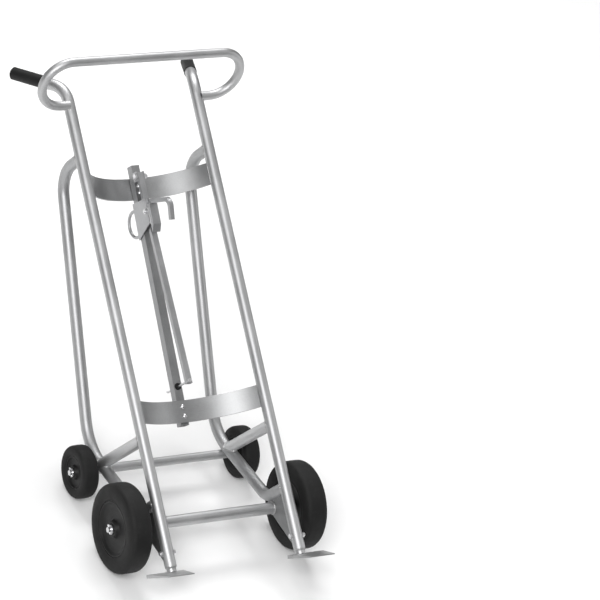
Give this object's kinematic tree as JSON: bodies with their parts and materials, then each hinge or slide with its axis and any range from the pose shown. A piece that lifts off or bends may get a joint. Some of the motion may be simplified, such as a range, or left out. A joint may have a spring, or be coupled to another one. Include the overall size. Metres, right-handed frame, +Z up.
{
  "type": "drum dolly",
  "caption": "Four-wheel tubular dolly for a steel drum, reclined on its wheels, with toe plates, curved bands, a sliding chime hook on a mast, a lock bar and a handle loop.",
  "frame": {"origin": "on the floor, under the middle of the overall box, with the dolly reclined on all four wheels", "axes": "+X across the dolly (right rail), +Y from the toe plates back to the grips, +Z up"},
  "size_m": [0.6582, 1.4086, 1.0515],
  "materials": {
    "aluminium_pipe": "satin mill-finish pipe",
    "aluminium_plate": "satin plate",
    "aluminium_cast": "as-cast, lightly ground",
    "zinc_fastener": "zinc plated",
    "plated_steel": "zinc plated bar and plate",
    "grip_rubber": "moulded black rubber",
    "tyre_rubber": "matte moulded rubber",
    "wheel_plastic": "moulded black plastic",
    "bush_steel": "turned steel"
  },
  "bodies": {
    "frame": {"rail_left": "aluminium_pipe", "rail_right": "aluminium_pipe", "leg_left": "aluminium_pipe", "leg_right": "aluminium_pipe", "brace_left": "aluminium_pipe", "brace_right": "aluminium_pipe", "front_cross_tube": "aluminium_pipe", "rear_cross_tube": "aluminium_pipe", "cross_handle": "aluminium_pipe", "mast": "aluminium_pipe", "gusset_left": "aluminium_plate", "gusset_right": "aluminium_plate", "lower_band": "aluminium_plate", "upper_band": "aluminium_plate", "toe_left": "aluminium_cast", "toe_right": "aluminium_cast", "toe_bolts": "zinc_fastener", "toe_nuts": "zinc_fastener", "band_screws": "zinc_fastener", "band_nuts": "zinc_fastener", "pivot_bolt": "zinc_fastener", "pivot_nut": "zinc_fastener", "main_axle": "zinc_fastener", "main_spacers": "zinc_fastener", "main_washers": "zinc_fastener", "main_cotters": "zinc_fastener", "rear_axle": "zinc_fastener", "rear_washers": "zinc_fastener", "rear_cotters": "zinc_fastener", "pivot_bracket": "plated_steel", "grip_left": "grip_rubber", "grip_right": "grip_rubber", "rod_grommet": "grip_rubber"},
    "wheel_main_left": {"tyre_main_left": "tyre_rubber", "centre_main_left": "wheel_plastic", "bush_main_left": "bush_steel"},
    "wheel_main_right": {"tyre_main_right": "tyre_rubber", "centre_main_right": "wheel_plastic", "bush_main_right": "bush_steel"},
    "wheel_rear_left": {"tyre_rear_left": "tyre_rubber", "centre_rear_left": "wheel_plastic", "bush_rear_left": "bush_steel"},
    "wheel_rear_right": {"tyre_rear_right": "tyre_rubber", "centre_rear_right": "wheel_plastic", "bush_rear_right": "bush_steel"},
    "hook_slider": {"slider_housing": "plated_steel", "slider_pin": "zinc_fastener", "face_bar": "plated_steel", "chime_hook": "plated_steel", "pull_handle": "plated_steel"},
    "lock_bar": {"lock_bar": "plated_steel", "lock_rod": "zinc_fastener", "rod_pin": "zinc_fastener"}
  },
  "joints": [
    {"name": "main_left_spin", "type": "hinge", "parent": "frame", "child": "wheel_main_left", "pos_m": [-0.281, -0.45107, 0.127], "axis": [1, 0, 0], "continuous": true},
    {"name": "main_right_spin", "type": "hinge", "parent": "frame", "child": "wheel_main_right", "pos_m": [0.281, -0.45107, 0.127], "axis": [1, 0, 0], "continuous": true},
    {"name": "rear_left_spin", "type": "hinge", "parent": "frame", "child": "wheel_rear_left", "pos_m": [-0.2626, -0.15863, 0.0762], "axis": [1, 0, 0], "continuous": true},
    {"name": "rear_right_spin", "type": "hinge", "parent": "frame", "child": "wheel_rear_right", "pos_m": [0.2626, -0.15863, 0.0762], "axis": [1, 0, 0], "continuous": true},
    {"name": "hook_slide", "type": "slide", "parent": "frame", "child": "hook_slider", "axis": [0, 0.7944, 0.6074], "range_m": [-0.3, 0.002]},
    {"name": "lock_bar_swing", "type": "hinge", "parent": "frame", "child": "lock_bar", "pos_m": [0, 0.35258, 0.7112], "axis": [1, 0, 0], "range_deg": [-0.1, 4.66]}
  ],
  "couplings": [
    {"joint": "lock_bar_swing", "follows": "hook_slide", "rad_per_m": -0.27053}
  ]
}
